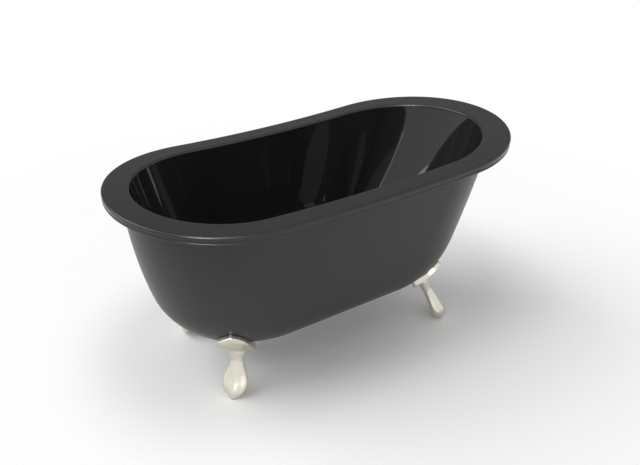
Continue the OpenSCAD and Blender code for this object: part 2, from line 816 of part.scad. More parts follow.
// Pipe lying along X between two places
module level_pipe(from, to, r) {
  translate([from, 0, pipe_z])
    rotate([0, 90, 0])
      cylinder(r = r, h = to - from, $fn = 96);
}
tee_half = 38;
tee_gap = 20;
shoe_start = drain_x - shoe_bend;

module drain_shoe() {
  color([0.16, 0.16, 0.17])
    difference() {
      union() {
        translate([drain_x, 0, shoe_top - 4])
          cylinder(r = shoe_r, h = 4, $fn = 96);
        translate([drain_x, 0, pipe_z + shoe_bend - 3])
          cylinder(r = barrel_r + 3, h = shoe_top - pipe_z - shoe_bend + 1, $fn = 96);
        translate([drain_x, 0, pipe_z])
          quarter_bend(shoe_bend, drain_pipe_r);
        level_pipe(tee_x + tee_gap, shoe_start, drain_pipe_r);
      }
      translate([drain_x, 0, pipe_z + shoe_bend])
        cylinder(r = barrel_r + pipe_fit, h = 40, $fn = 96);
      translate([drain_x, 0, pipe_z])
        quarter_bend(shoe_bend, drain_pipe_r - pipe_wall);
      level_pipe(tee_x, shoe_start - 1, drain_pipe_r - pipe_wall);
    }
}

// Stopper: the cap, its seal and its stem lift together; the stem slides in the sleeve
module stopper_sleeve() {
  color([0.85, 0.85, 0.87])
    translate([drain_x, 0, 0])
      difference() {
        union() {
          translate([0, 0, sleeve_top - sleeve_length])
            cylinder(r = sleeve_r, h = sleeve_length, $fn = 64);
          translate([0, 0, sleeve_top])
            cylinder(r = sleeve_flange_r - 0.5, h = 2, $fn = 64);
        }
        translate([0, 0, sleeve_top - sleeve_length - 1])
          cylinder(r = stem_r + running, h = sleeve_length + 4, $fn = 64);
      }
}
module stopper_cap() {
  color([0.85, 0.85, 0.87])
    translate([drain_x, 0, cap_bottom])
      difference() {
        union() {
          rotate_extrude($fn = 128)
            polygon([
              [0, 0],
              [cap_r - 1, 0],
              [cap_r, 1],
              [cap_r, 2.5],
              [cap_r - 1.2, 3.8],
              [cap_r*0.8, 5],
              [cap_r*0.5, 6],
              [cap_r*0.2, 6.4],
              [0, 6.5]
            ]);
          translate([0, 0, -8])
            cylinder(r = 7, h = 8.5, $fn = 64);
        }
        translate([0, 0, -9])
          cylinder(r = stem_r + seat, h = 12, $fn = 64);
      }
}
module stopper_stem() {
  stop = sleeve_top - sleeve_length - stopper_travel - seat;
  color([0.85, 0.85, 0.87])
    translate([drain_x, 0, 0])
      union() {
        translate([0, 0, stop - 2.5])
          cylinder(r = 6, h = 2.5, $fn = 64);
        translate([0, 0, stop - 0.1])
          cylinder(r = stem_r, h = cap_bottom + 2.5 - stop, $fn = 64);
      }
}
module stopper_seal() {
  color([0.04, 0.04, 0.04])
    translate([drain_x, 0, 0])
      rotate_extrude($fn = 128)
        polygon([
          [7 + seat, seal_bottom],
          [seal_r, seal_bottom],
          [seal_r + 1, seal_bottom + 1.2],
          [seal_r, cap_bottom - seat],
          [7 + seat, cap_bottom - seat]
        ]);
}

// Overflow
module overflow_plate() {
  r = overflow_plate_d/2;
  color([0.85, 0.85, 0.87])
    at_overflow()
      translate([0, 0, seat - plate_sink])
        difference() {
          rotate_extrude($fn = 128)
            polygon([
              [0, 0],
              [r, 0],
              [r, 2],
              [r - 1.5, 3.6],
              [r*0.75, 5.2],
              [r*0.4, 6],
              [0, 6.2]
            ]);
          for (a = [0:60:300])
            rotate([0, 0, a])
              translate([14, 0, -1])
                cylinder(r = 3.5, h = 10, $fn = 48);
          translate([0, 0, -1])
            cylinder(r = screw_r + loose, h = 10, $fn = 48);
          translate([0, 0, 4])
            cylinder(r = 5.5 + seat, h = 10, $fn = 48);
        }
}
screw_r = 2.5;
body_top = gasket_sink - basin_wall - seat - gasket_thickness - seat;
body_thickness = 28;
body_wall = 4;
module overflow_screw() {
  head = seat - plate_sink + 4 + seat;
  color([0.85, 0.85, 0.87])
    at_overflow()
      union() {
        translate([0, 0, head])
          cylinder(r = 5.5, h = 3, $fn = 64);
        translate([0, 0, body_top - body_thickness + 8])
          cylinder(r = screw_r, h = head - body_top + body_thickness - 7.5, $fn = 48);
      }
}
module overflow_gasket() {
  color([0.04, 0.04, 0.04])
    at_overflow()
      translate([0, 0, body_top + seat])
        difference() {
          cylinder(r = gasket_r, h = gasket_thickness, $fn = 96);
          translate([0, 0, -1])
            cylinder(r = overflow_hole_r, h = gasket_thickness + 2, $fn = 96);
        }
}

overflow_pipe_r = overflow_pipe_d/2;
bend_x = tee_x - tee_half - 20;
bend_middle = [bend_x, 0, pipe_z + overflow_bend];
// The long leg ends behind the overflow's middle and below it, and touches the bend's circle
leg_depth = 24.3;
leg_drop = 14.2;
leg_end = overflow_place
  - leg_depth*[cos(overflow_lean), 0, sin(overflow_lean)]
  - leg_drop*[-sin(overflow_lean), 0, cos(overflow_lean)];
leg_run = bend_middle.x - leg_end.x;
leg_rise = leg_end.z - bend_middle.z;
leg_slope = acos(overflow_bend/norm([leg_run, leg_rise])) - atan2(leg_rise, leg_run);
leg_length = sqrt(leg_run*leg_run + leg_rise*leg_rise - overflow_bend*overflow_bend);
leg_start = bend_middle - overflow_bend*[cos(leg_slope), 0, sin(leg_slope)];
// Places children on the lower end of the overflow pipe's long leg, +Z going up the leg
module at_leg() {
  translate(leg_start)
    rotate([0, -leg_slope, 0])
      children();
}
module overflow_body() {
  color([0.16, 0.16, 0.17])
    difference() {
      union() {
        at_overflow()
          translate([0, 0, body_top - body_thickness])
            cylinder(r = gasket_r, h = body_thickness, $fn = 96);
        at_leg()
          translate([0, 0, leg_length - 28])
            cylinder(r = overflow_pipe_r + 3.5, h = 26, $fn = 96);
      }
      at_overflow()
        translate([0, 0, body_top - body_thickness + body_wall])
          difference() {
            cylinder(r = gasket_r - body_wall, h = body_thickness, $fn = 96);
            translate([0, 0, -1])
              cylinder(r = 7, h = 12, $fn = 64);
          }
      at_overflow()
        translate([0, 0, body_top - body_thickness + body_wall])
          cylinder(r = screw_r + seat, h = body_thickness, $fn = 48);
      at_leg()
        translate([0, 0, leg_length - 40])
          cylinder(r = overflow_pipe_r + pipe_fit, h = 41, $fn = 96);
    }
}
leg_lap = 1;
module overflow_arc(r) {
  translate(bend_middle)
    rotate([90, 0, 0])
      rotate([0, 0, 180 + leg_slope - leg_lap])
        rotate_extrude(angle = 90 - leg_slope + 2*leg_lap, $fn = 128)
          translate([overflow_bend, 0])
            circle(r = r - bend_slim, $fn = 64);
}
module overflow_pipe() {
  bore = overflow_pipe_r - 2;
  color([0.16, 0.16, 0.17])
    difference() {
      union() {
        at_leg()
          cylinder(r = overflow_pipe_r, h = leg_length, $fn = 96);
        overflow_arc(overflow_pipe_r);
        level_pipe(bend_x, tee_x - tee_gap, overflow_pipe_r);
      }
      at_leg()
        translate([0, 0, 1])
          cylinder(r = bore, h = leg_length, $fn = 96);
      overflow_arc(bore);
      level_pipe(bend_x + 1, tee_x, bore);
    }
}

nut_r = 24;
nut_length = 12;
module waste_tee() {
  color([0.16, 0.16, 0.17])
    difference() {
      union() {
        level_pipe(tee_x - tee_half, tee_x + tee_half, drain_pipe_r + 3);
        translate([tee_x, 0, pipe_z - 22])
          cylinder(r = tail_neck_r + 4, h = 22, $fn = 96);
      }
      level_pipe(tee_x - tee_gap + 1, tee_x + tee_half + 1, drain_pipe_r + pipe_fit);
      level_pipe(tee_x - tee_half - 1, tee_x, overflow_pipe_r + pipe_fit);
      translate([tee_x, 0, pipe_z - 23])
        cylinder(r = tail_neck_r + pipe_fit, h = 18, $fn = 96);
      translate([tee_x, 0, pipe_z - 23])
        cylinder(r = tailpiece_r - 4, h = 23, $fn = 96);
    }
}
module slip_nuts() {
  color([0.16, 0.16, 0.17]) {
    difference() {
      level_pipe(tee_x + tee_half + seat, tee_x + tee_half + nut_length, nut_r);
      level_pipe(tee_x + tee_half, tee_x + tee_half + nut_length + 1, drain_pipe_r + pipe_fit);
    }
    difference() {
      level_pipe(tee_x - tee_half - nut_length, tee_x - tee_half - seat, nut_r);
      level_pipe(tee_x - tee_half - nut_length - 1, tee_x - tee_half, overflow_pipe_r + pipe_fit);
    }
    at_leg()
      translate([0, 0, leg_length - 28 - seat - nut_length])
        difference() {
          cylinder(r = overflow_pipe_r + 5, h = nut_length, $fn = 96);
          translate([0, 0, -1])
            cylinder(r = overflow_pipe_r + pipe_fit, h = nut_length + 2, $fn = 96);
        }
  }
}
module tailpiece() {
  length = pipe_z - 6 - tailpiece_end;
  bead = 3;
  color([0.85, 0.85, 0.87])
    translate([tee_x, 0, tailpiece_end])
      difference() {
        union() {
          cylinder(r = tailpiece_r, h = tailpiece_free, $fn = 96);
          translate([0, 0, tailpiece_free])
            cylinder(r = tailpiece_r + 2, h = bead, $fn = 96);
          cylinder(r = tail_neck_r, h = length, $fn = 96);
        }
        translate([0, 0, -1])
          cylinder(r = tailpiece_r - 2, h = length + 2, $fn = 96);
      }
}
module pipe_grommet() {
  color([0.04, 0.04, 0.04])
    translate([tee_x, 0, body_clearance])
      rotate_extrude($fn = 96)
        polygon([
          [tail_neck_r + pipe_fit, -3],
          [grommet_r + 4, -3],
          [grommet_r + 4, -seat],
          [grommet_r - seat, -seat],
          [grommet_r - seat, skin_wall + seat],
          [grommet_r + 4, skin_wall + seat],
          [grommet_r + 4, skin_wall + 3],
          [tail_neck_r + pipe_fit, skin_wall + 3]
        ]);
}

rim();
basin();
outer_skin();
base_board();
front_rail();
back_rail();
left_brace();
right_brace();
front_left_foot();
front_right_foot();
back_left_foot();
back_right_foot();
front_left_pad();
front_right_pad();
back_left_pad();
back_right_pad();
foot_studs();
foot_washers();
foot_nuts();
board_screws();
brace_bolts();
drain_flange();
drain_gasket();
drain_shoe();
stopper_sleeve();
stopper_cap();
stopper_stem();
stopper_seal();
overflow_plate();
overflow_screw();
overflow_gasket();
overflow_body();
overflow_pipe();
waste_tee();
slip_nuts();
tailpiece();
pipe_grommet();
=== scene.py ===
import bpy
import numpy as np
from mathutils import Matrix, Vector


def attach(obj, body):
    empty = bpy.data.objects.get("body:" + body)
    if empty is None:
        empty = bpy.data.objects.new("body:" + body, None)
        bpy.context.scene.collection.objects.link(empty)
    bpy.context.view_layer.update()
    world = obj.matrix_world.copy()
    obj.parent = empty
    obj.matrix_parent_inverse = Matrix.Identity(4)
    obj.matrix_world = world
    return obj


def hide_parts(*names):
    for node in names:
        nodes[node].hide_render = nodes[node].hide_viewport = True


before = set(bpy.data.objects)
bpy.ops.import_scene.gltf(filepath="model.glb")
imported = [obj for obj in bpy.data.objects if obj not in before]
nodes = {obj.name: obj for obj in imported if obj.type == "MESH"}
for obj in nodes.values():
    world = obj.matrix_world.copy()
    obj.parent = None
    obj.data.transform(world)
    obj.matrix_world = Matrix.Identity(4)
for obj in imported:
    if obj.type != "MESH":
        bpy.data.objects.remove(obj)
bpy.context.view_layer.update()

print("frame loaded:", len(nodes), "nodes")


# camera

shot = {
    "azimuth": -25.87,  # degrees round the tub, 0 looks along +Y
    "elevation": 31.53,
    "roll": -3.06,
    "distance": 2.0235,
    "panRight": 0.2955,  # how far the camera is moved sideways and up in its own picture plane
    "panUp": 0.2715,
    "aimHeight": 0.721,
    "widthPixels": 640.0,  # width of the picture in which focal length and shift are measured
    "lensPixels": 587.0,
    "shiftPixels": (-88.8, 4.1),
    "sensor": 36.0,  # in mm
    "clip": (0.05, 60.0),
}


def makeCamera(s):
    a, e, r = np.radians([s["azimuth"], s["elevation"], s["roll"]])
    back = np.array([np.sin(a) * np.cos(e), -np.cos(a) * np.cos(e), np.sin(e)])
    level = np.array([np.cos(a), np.sin(a), 0.0])
    upright = np.cross(back, level)
    right = level * np.cos(r) + upright * np.sin(r)
    up = upright * np.cos(r) - level * np.sin(r)
    place = back * s["distance"] - right * s["panRight"] - up * s["panUp"]
    place[2] += s["aimHeight"]
    data = bpy.data.cameras.new("shot")
    data.sensor_width = s["sensor"]
    data.lens = s["sensor"] * s["lensPixels"] / s["widthPixels"]
    data.shift_x = -s["shiftPixels"][0] / s["widthPixels"]
    data.shift_y = s["shiftPixels"][1] / s["widthPixels"]
    data.clip_start, data.clip_end = s["clip"]
    cam = bpy.data.objects.new("shot", data)
    turn = np.eye(4)
    turn[:3, 0], turn[:3, 1], turn[:3, 2], turn[:3, 3] = right, up, back, place
    cam.matrix_world = Matrix(turn.tolist())
    bpy.context.scene.collection.objects.link(cam)
    bpy.context.scene.camera = cam


makeCamera(shot)
print("camera placed")


# shapes: every long surface of the tub is a stack of ovals, each of them
# [reach to the right, reach to the left, half width, length of the right curved end, length of the left one]

body = {
    "halfLength": 0.750,
    "halfWidth": 0.356,
    "rimHeight": 0.721,
    "rimRise": 0.0375,  # the rim's extra height at its ends, growing with the square of x
    "rimEnds": (0.364, 0.370),  # lengths of the rim's right and left curved ends
    "opening": (0.656, 0.662, 0.282, 0.320, 0.313),
    "deck": 0.008,  # thicknesses of the rim's deck and the basin's flange, and the gap under each
    "flange": 0.006,
    "gap": 0.0003,
    "clearance": 0.174,  # height of the skin's underside
    "cornerTurn": 68.0,  # degrees of a wall's lower corner whose rows lie at even angles
}
underDeck = body["rimHeight"] - body["deck"]
basinTop = underDeck - body["gap"]
skinTop = basinTop - body["flange"] - body["gap"]
skinDepth = skinTop - body["clearance"]


# x and y of every oval: half ellipses at both ends, straight lines between; one row per oval
def ovalGrid(ovals, endSteps, sideSteps):
    o = np.asarray(ovals, float)[:, :, None]
    quarter = np.linspace(0, np.pi / 2, endSteps, endpoint=False)
    side = np.linspace(0, 1, sideSteps, endpoint=False)
    none = np.zeros(sideSteps)
    start, full = 0 * quarter, 0 * quarter + 1
    angle = np.concatenate([quarter, none + np.pi / 2, np.pi / 2 + quarter, np.pi + quarter,
                            none - np.pi / 2, 1.5 * np.pi + quarter])
    toLeft = np.concatenate([start, side, full, full, 1 - side, start])
    curved = np.concatenate([full, none, full, full, none, full])
    x = (o[:, 0] - o[:, 3]) * (1 - toLeft) + (o[:, 4] - o[:, 1]) * toLeft
    x = x + np.where(toLeft > 0.5, o[:, 4], o[:, 3]) * np.cos(angle) * curved
    return x, o[:, 2] * np.sin(angle)


# grid of points of stacked ovals; each is lifted by the rim's rise times its share
def stack(ovals, heights, shares, around):
    x, y = ovalGrid(ovals, *around)
    z = np.asarray(heights, float)[:, None] + 0 * x
    z = z + body["rimRise"] * (x / body["halfLength"]) ** 2 * np.asarray(shares, float)[:, None]
    return np.stack([x, y, z], -1)


# distance of a wall from its top edge in plan: a round corner, then a slope changing evenly from low to high
def wallInset(h, depth, low, high, radius):
    low, high = np.radians([low, high])
    turn = radius * (1 - np.sin(low))
    v = np.clip((h - turn) / (depth - turn), 0, None)
    straight = (depth - turn) * (np.tan(low) * (1 - v) + (np.tan(high) - np.tan(low)) * (1 - v * v) / 2)
    bend = radius * np.cos(low) - np.sqrt(np.clip(radius**2 - (radius - np.minimum(h, radius)) ** 2, 0, None))
    return np.where(h >= turn, straight, straight + bend)


# heights of rows: even steps of angle in the corner, even steps of height above it
def wallHeights(depth, radius, cornerRows, wallRows):
    corner = radius * (1 - np.cos(np.radians(np.linspace(0, body["cornerTurn"], cornerRows))))
    return np.concatenate([corner, np.linspace(corner[-1], depth, wallRows + 1)[1:]])


def addObject(name, data):
    obj = bpy.data.objects.new(name, data)
    bpy.context.scene.collection.objects.link(obj)
    return obj


# mesh of a grid whose columns close on themselves; rows may close too, or end in flat caps
def gridMesh(name, grid, closeRows=False, caps=False):
    rows, cols = grid.shape[:2]
    r = np.arange(rows if closeRows else rows - 1)[:, None]
    c = np.arange(cols)[None, :]
    r2, c2 = (r + 1) % rows, (c + 1) % cols
    quads = np.stack([r * cols + c, r * cols + c2, r2 * cols + c2, r2 * cols + c], -1).reshape(-1, 4)
    faces = quads.tolist()
    if caps:
        faces.append(list(range(cols - 1, -1, -1)))
        faces.append(list(range((rows - 1) * cols, rows * cols)))
    mesh = bpy.data.meshes.new(name)
    mesh.from_pydata(grid.reshape(-1, 3).tolist(), [], faces)
    mesh.polygons.foreach_set("use_smooth", np.ones(len(mesh.polygons), bool))
    mesh.update()
    return addObject(name, mesh)


# rim

rim = {
    "lipDepth": 0.027,
    "lipThickness": 0.009,
    "edgeRadius": 0.007,
    "innerRadius": 0.0075,
    "beadRadius": 0.0035,
    "setback": 0.0015,  # how far the lip's face stands back from the bead and the edge
    "steps": {"bead": 12, "face": 6, "edge": 16, "deck": 14, "inner": 12},
    "around": (72, 64),  # points on a quarter of a curved end, and on a straight side
}


# the rim's section is carried round: bead, lip face, rounded outer edge, deck, rounded inner edge, underside
def makeRim(s):
    outer = np.array([body["halfLength"], body["halfLength"], body["halfWidth"], *body["rimEnds"]])
    inner = np.array(body["opening"])
    steps = s["steps"]
    beadEnd = np.arccos(1 - s["setback"] / s["beadRadius"])
    edgeStart = np.arccos(1 - s["setback"] / s["edgeRadius"])
    a = np.linspace(-np.pi / 2, beadEnd, steps["bead"])
    bead = np.stack([s["beadRadius"] * (np.cos(a) - 1), s["beadRadius"] * (1 + np.sin(a)) - s["lipDepth"]], -1)
    a = np.linspace(-edgeStart, np.pi / 2, steps["edge"])
    edge = np.stack([s["edgeRadius"] * (np.cos(a) - 1), s["edgeRadius"] * (np.sin(a) - 1)], -1)
    z = np.linspace(bead[-1, 1], edge[0, 1], steps["face"])[1:-1]
    face = np.stack([0 * z - s["setback"], z], -1)
    a = np.linspace(np.pi / 2, np.pi, steps["inner"])
    innerEdge = np.stack([s["innerRadius"] * (1 + np.cos(a)), s["innerRadius"] * (np.sin(a) - 1)], -1)
    outside = np.concatenate([[[-s["lipThickness"], -s["lipDepth"]]], bead, face, edge])
    inside = np.concatenate([innerEdge, [[0.0, -body["deck"]]]])
    under = np.array([[-s["lipThickness"], -body["deck"]]])
    t = np.linspace(0, 1, steps["deck"])[1:-1, None]
    deckOuter, deckInner = outer + outside[-1, 0], inner + inside[0, 0]
    ovals = np.concatenate([outer + outside[:, :1], deckOuter * (1 - t) + deckInner * t,
                            inner + inside[:, :1], outer + under[:, :1]])
    drop = np.concatenate([outside[:, 1], 0 * t[:, 0], inside[:, 1], under[:, 1]])
    grid = stack(ovals, body["rimHeight"] + drop, 1 + 0 * drop, s["around"])
    return gridMesh("rimPiece", grid, closeRows=True)


rimPiece = makeRim(rim)
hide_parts("rim")
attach(rimPiece, "tub")
print("rim made")


# outer skin

skin = {
    "top": (0.689, 0.693, 0.299),  # reach to the right and to the left, and half width
    "wall": 0.005,
    "right": (16.4, 9.3),  # slope above the corner and at the rim, in degrees from upright
    "left": (16.2, 0.5),
    "side": (5.0, 3.5),
    "endRadius": 0.246,  # radii of the lower corner, at both ends and at the sides
    "sideRadius": 0.135,
    "endRatio": (1.263, 1.11),  # length of the curved ends over the half width, at the bottom and the top
    "rows": (34, 30),  # rows in the corner and above it, outside and inside
    "innerRows": (20, 12),
    "floorRings": 10,
    "firstRing": 0.03,  # size of the innermost ring of the floor over its outermost
    "around": (64, 56),
}


# ovals of the skin at heights h over its underside, moved inwards
def skinOvals(s, h, inward):
    rows = []
    for top, (low, high), radius in zip(s["top"], (s["right"], s["left"], s["side"]),
                                        (s["endRadius"], s["endRadius"], s["sideRadius"])):
        inset = wallInset(h - inward, skinDepth - inward, low, high, radius - inward)
        rows.append(top - inward / np.cos(np.radians(high)) - inset)
    end = rows[2] * (s["endRatio"][0] + (s["endRatio"][1] - s["endRatio"][0]) * h / skinDepth)
    return np.stack([rows[0], rows[1], rows[2], end, end], -1)


def makeSkin(s):
    h = wallHeights(skinDepth, s["endRadius"], *s["rows"])
    inner = wallHeights(skinDepth - s["wall"], s["endRadius"] - s["wall"], *s["innerRows"])[::-1] + s["wall"]
    t = np.linspace(s["firstRing"], 1, s["floorRings"])[:-1, None]
    flat = skinOvals(s, h[:1], 0.0)
    floor = skinOvals(s, inner[-1:], s["wall"])
    ovals = np.concatenate([flat * t, skinOvals(s, h, 0.0), skinOvals(s, inner, s["wall"]), floor * t[::-1]])
    heights = np.concatenate([0 * t[:, 0], h, inner, 0 * t[:, 0] + s["wall"]])
    shares = np.concatenate([0 * t[:, 0], h / skinDepth, inner / skinDepth, 0 * t[:, 0]])
    grid = stack(ovals, body["clearance"] + heights, shares, s["around"])
    return gridMesh("outerSkinPiece", grid, caps=True)


outerSkinPiece = makeSkin(skin)
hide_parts("outer_skin")
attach(outerSkinPiece, "tub")
print("outer skin made")


# basin

basin = {
    "reveal": 0.001,  # how far the wall stands back from the rim's opening, and the flange from the skin's edge
    "wall": 0.006,
    "depth": 0.455,
    "right": (36.5, 15.2),  # slope above the floor and at the rim, in degrees from upright
    "left": (22.0, 14.0),
    "side": (11.0, 5.0),
    "radius": 0.120,
    "endRatio": 0.75,  # right curved end over the half width at the floor; at the rim it is the opening's
    "fall": 0.008,  # how much higher the floor's right end lies than its left end
    "drainX": -0.285,
    "holeRadius": 0.0235,
    "recessRadius": 0.038,
    "recessDepth": 0.002,
    "rows": (34, 34),  # rows in the corner and above it, inside and outside
    "outerRows": (20, 12),
    "topRow": 0.0004,  # one more row this far down keeps the shading of the top edge off the wall
    "floorRows": 18,
    "around": (64, 56),
}


# ovals of the basin at heights h over its floor, moved outwards
def basinOvals(s, h, outward):
    top = np.array(body["opening"]) + s["reveal"]
    rows = []
    for start, (low, high) in zip(top, (s["right"], s["left"], s["side"])):
        inset = wallInset(h + outward, s["depth"] + outward, low, high, s["radius"] + outward)
        rows.append(start - inset + outward / np.cos(np.radians(high)))
    share = np.clip(h / s["depth"], 0, 1)
    rightEnd = rows[2] * (s["endRatio"] + (top[3] / top[2] - s["endRatio"]) * share)
    return np.stack([*rows, rightEnd, rows[2] * top[4] / top[2]], -1)


# inner wall down to the floor, across to the drain hole, through it, and back under the floor and up outside
def makeBasin(s):
    floorZ = basinTop - s["depth"]
    inner = np.insert(wallHeights(s["depth"], s["radius"], *s["rows"])[::-1], 1, s["depth"] - s["topRow"])
    outer = wallHeights(s["depth"] + s["wall"] - body["flange"], s["radius"], *s["outerRows"]) - s["wall"]
    flat = basinOvals(s, np.array([0.0]), 0.0)[0]

    # the floor's slope, fading up the wall: fall * place along the floor * (1 - height / depth) ^ 3
    def lift(x, h):
        return s["fall"] * (x + flat[1]) / (flat[0] + flat[1]) * (1 - h / s["depth"]) ** 3

    def level(points, z):
        return np.concatenate([points, np.full((len(points), 1), z)], -1)[None]

    down = stack(basinOvals(s, inner, 0.0), floorZ + inner, inner / s["depth"], s["around"])
    down[..., 2] += lift(down[..., 0], inner[:, None])
    edge = down[-1]
    angle = np.arctan2(edge[:, 1], edge[:, 0] - s["drainX"])
    ringWay = np.stack([np.cos(angle), np.sin(angle)], -1)
    centre = np.array([s["drainX"], 0.0])
    recess = centre + ringWay * s["recessRadius"]
    hole = centre + ringWay * s["holeRadius"]
    t = np.linspace(0, 1, s["floorRows"])[1:, None, None]
    across = edge[None, :, :2] * (1 - t) + recess[None] * t
    across = np.concatenate([across, (floorZ + lift(across[..., 0], 0.0))[..., None]], -1)
    seatZ = floorZ + lift(s["drainX"], 0.0) - s["recessDepth"]
    under = floorZ - s["wall"]
    shares = np.clip(outer / s["depth"], 0, 1)
    upFlat = stack(basinOvals(s, outer, s["wall"]), floorZ + outer, shares, s["around"])
    back = hole[None] * (1 - t) + upFlat[0][None, :, :2] * t
    back = np.concatenate([back, 0 * back[..., :1] + under], -1)[:-1]
    flangeOval = skinOvals(skin, np.array([skinDepth]), 0.0) - s["reveal"]
    flange = stack(np.repeat(flangeOval, 2, 0), [basinTop - body["flange"], basinTop], [1, 1], s["around"])
    through = [level(recess, seatZ), level(hole, seatZ), level(hole, under)]
    return gridMesh("basinPiece", np.concatenate([down, across, *through, back, upFlat, flange]), closeRows=True)


basinPiece = makeBasin(basin)
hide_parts("basin")
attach(basinPiece, "tub")
print("basin made")


# feet: one casting each, a cap on the body's lower corner and a leg that swells above its sole

foot = {
    "angle": (56.5, 52.5),  # right and left: place round the body's ends, in degrees from the tip
    "corner": (54.0, 57.0),  # right and left: place up the body's lower corner, in degrees
    "capHalfWidth": (0.050, 0.054),  # right and left
    "capHalfLength": 0.052,
    "capPeak": (1.02, 1.25),  # right and left: height of the roof-shaped upper edge over the half length
    "capRoof": 0.42,  # its fall to the sides, and the place of its peak
    "capPeakAt": 0.30,
    "capRoofPower": 0.6,  # exponents of the outline, squarer as they get smaller: upper edge, sides above and below
    "capSquare": (0.5, 0.34),
    "capTwist": 0.08,
    "capSeat": 0.0007,  # gap to the body, and how much it grows towards the cap's lower edge
    "capGap": 0.010,
    "capTop": 0.019,  # how far the cap stands off the body at its upper edge, its middle and its lower edge
    "capMiddle": 0.022,
    "capBottom": 0.032,
    "capBevel": (0.06, 0.20),  # share of the outline and of the thickness that the bevel takes
    "capRings": (10, 9, 14),  # rings on the inner face, the bevel and the outer face, and sizes where a face ends
    "capRingEnds": (0.05, 0.92),
    "capPoints": 96,
    "soles": ((0.460, -0.237), (-0.469, -0.207)),  # right and left
    # the leg's curve goes by four points, each its distance inwards from the sole and its height: two at the top
    # and one at the bend, right and left, and one at the foot
    "legTops": (((0.086, 0.186), (0.088, 0.147)), ((0.052, 0.188), (0.086, 0.142))),
    "legBends": ((0.014, 0.062), (0.036, 0.062)),
    "legFoot": (0.000, 0.003),
    # place down the leg, half width and half depth in mm
    "legRows": ((0.0, 38, 10), (0.06, 37, 15), (0.12, 38, 19), (0.2, 34, 19), (0.28, 29, 18), (0.38, 24.5, 17),
                (0.5, 29, 18.5), (0.58, 35, 20), (0.65, 41, 21.5), (0.72, 46, 23.5), (0.78, 47, 26.5),
                (0.85, 43, 29), (0.91, 35, 28), (0.96, 25, 22.5), (1.0, 14, 14)),
    "legSteps": 90,  # rings down the leg, and points on each
    "legPoints": 128,
    "legSmooth": (1, 2, 3, 4, 3, 2, 1),  # weights of the rings that each width and depth is a mean of
    "ballDepth": (1.0, 0.88),  # right and left: share of the depth kept at the swelling
    "ballSpan": (0.55, 0.78, 0.93, 1),  # places down the leg where this starts, is full, fades and ends
    "ridge": 0.0012,  # height of the ridge down the front of the swelling, and depth of the valleys beside it
    "valley": 0.0026,
    "ridgeWidth": 15,  # in degrees round the leg
    "valleyAt": 38,
    "valleyWidth": 17,
    "reliefSpan": (0.45, 0.62, 0.85, 0.97),
    "grain": 0.0013,  # cell size when cap and leg are melted into one casting
    "blend": 4,  # smoothing rounds all over, and more of them within a reach of the place where leg and cap meet
    "neckBlend": 60,
    "neckReach": 0.034,
    "neckFade": 1.4,  # reaches from that place at which these rounds end, full up to one reach nearer
    "neckAt": 0.13,
}
normalStep = {"height": 0.0005, "angle": 0.01}  # distances between the points that give a normal


def ofEnd(pair, end):
    return pair[0 if end > 0 else 1]


def unit(v):
    return v / np.linalg.norm(v, axis=-1, keepdims=True)


# points of the skin's outer face, given by height over its underside and angle round its end
def skinPoint(end, h, angle):
    o = skinOvals(skin, np.ravel(h), 0.0)
    o = o.reshape(*np.shape(h), 5)
    x = end * (ofEnd((o[..., 0], o[..., 1]), end) - o[..., 3] + o[..., 3] * np.cos(angle))
    z = body["clearance"] + h + body["rimRise"] * (x / body["halfLength"]) ** 2 * h / skinDepth
    return np.stack([x, -o[..., 2] * np.sin(angle), z], -1)


def skinNormal(end, h, angle):
    dh, da = normalStep["height"], normalStep["angle"]
    along = skinPoint(end, h, angle + da) - skinPoint(end, h, angle - da)
    rise = skinPoint(end, h + dh, angle) - skinPoint(end, h - dh, angle)
    return end * unit(np.cross(rise, along))


# point of the cap at u across and w up it, from 0 on its inner face to 1 on its outer face
def capPoint(s, end, u, w, level):
    start = np.radians(ofEnd(s["angle"], end))
    w = w + s["capTwist"] * u
    radius = skin["sideRadius"]
    corner = np.radians(ofEnd(s["corner"], end)) + w * s["capHalfLength"] / radius
    h = radius * (1 - np.cos(corner))
    o = skinOvals(skin, np.ravel(h), 0.0).reshape(*np.shape(h), 5)
    slant = np.hypot(o[..., 3] * np.sin(start), o[..., 2] * np.cos(start))
    angle = start + u * ofEnd(s["capHalfWidth"], end) / slant
    low, high = np.clip(-w, 0, None), np.clip(w, 0, None)
    inner = s["capSeat"] + s["capGap"] * low**2
    outer = s["capMiddle"] + (s["capTop"] - s["capMiddle"]) * high + (s["capBottom"] - s["capMiddle"]) * low
    out = inner * (1 - level) + outer * level
    return skinPoint(end, h, angle) + out[..., None] * skinNormal(end, h, angle)


# the cap is nested outlines: from the middle of its inner face, round its bevelled edge, to that of its outer face
def makeCap(name, s, end):
    turn = np.linspace(0, 2 * np.pi, s["capPoints"], endpoint=False)
    c, v = np.cos(turn), np.sin(turn)
    square = np.where(v > 0, *s["capSquare"])
    u = np.sign(c) * np.abs(c) ** square
    roof = ofEnd(s["capPeak"], end) - s["capRoof"] * np.abs(u - s["capPeakAt"])
    w = np.where(v > 0, np.abs(v) ** s["capRoofPower"] * roof, -(np.abs(v) ** square))
    innerRings, bevelRings, outerRings = s["capRings"]
    middle, outerEdge = s["capRingEnds"]
    across, thick = s["capBevel"]
    bevel = np.radians(np.linspace(0, 90, bevelRings))
    share = np.concatenate([np.linspace(middle, 1, innerRings), 1 - across + across * np.cos(bevel),
                            np.linspace(outerEdge, middle, outerRings)])
    level = np.concatenate([np.zeros(innerRings), 1 - thick + thick * np.sin(bevel), np.ones(outerRings)])
    grid = capPoint(s, end, share[:, None] * u, share[:, None] * w, level[:, None] + 0 * u)
    return gridMesh(name, grid if end > 0 else grid[:, ::-1], caps=True)


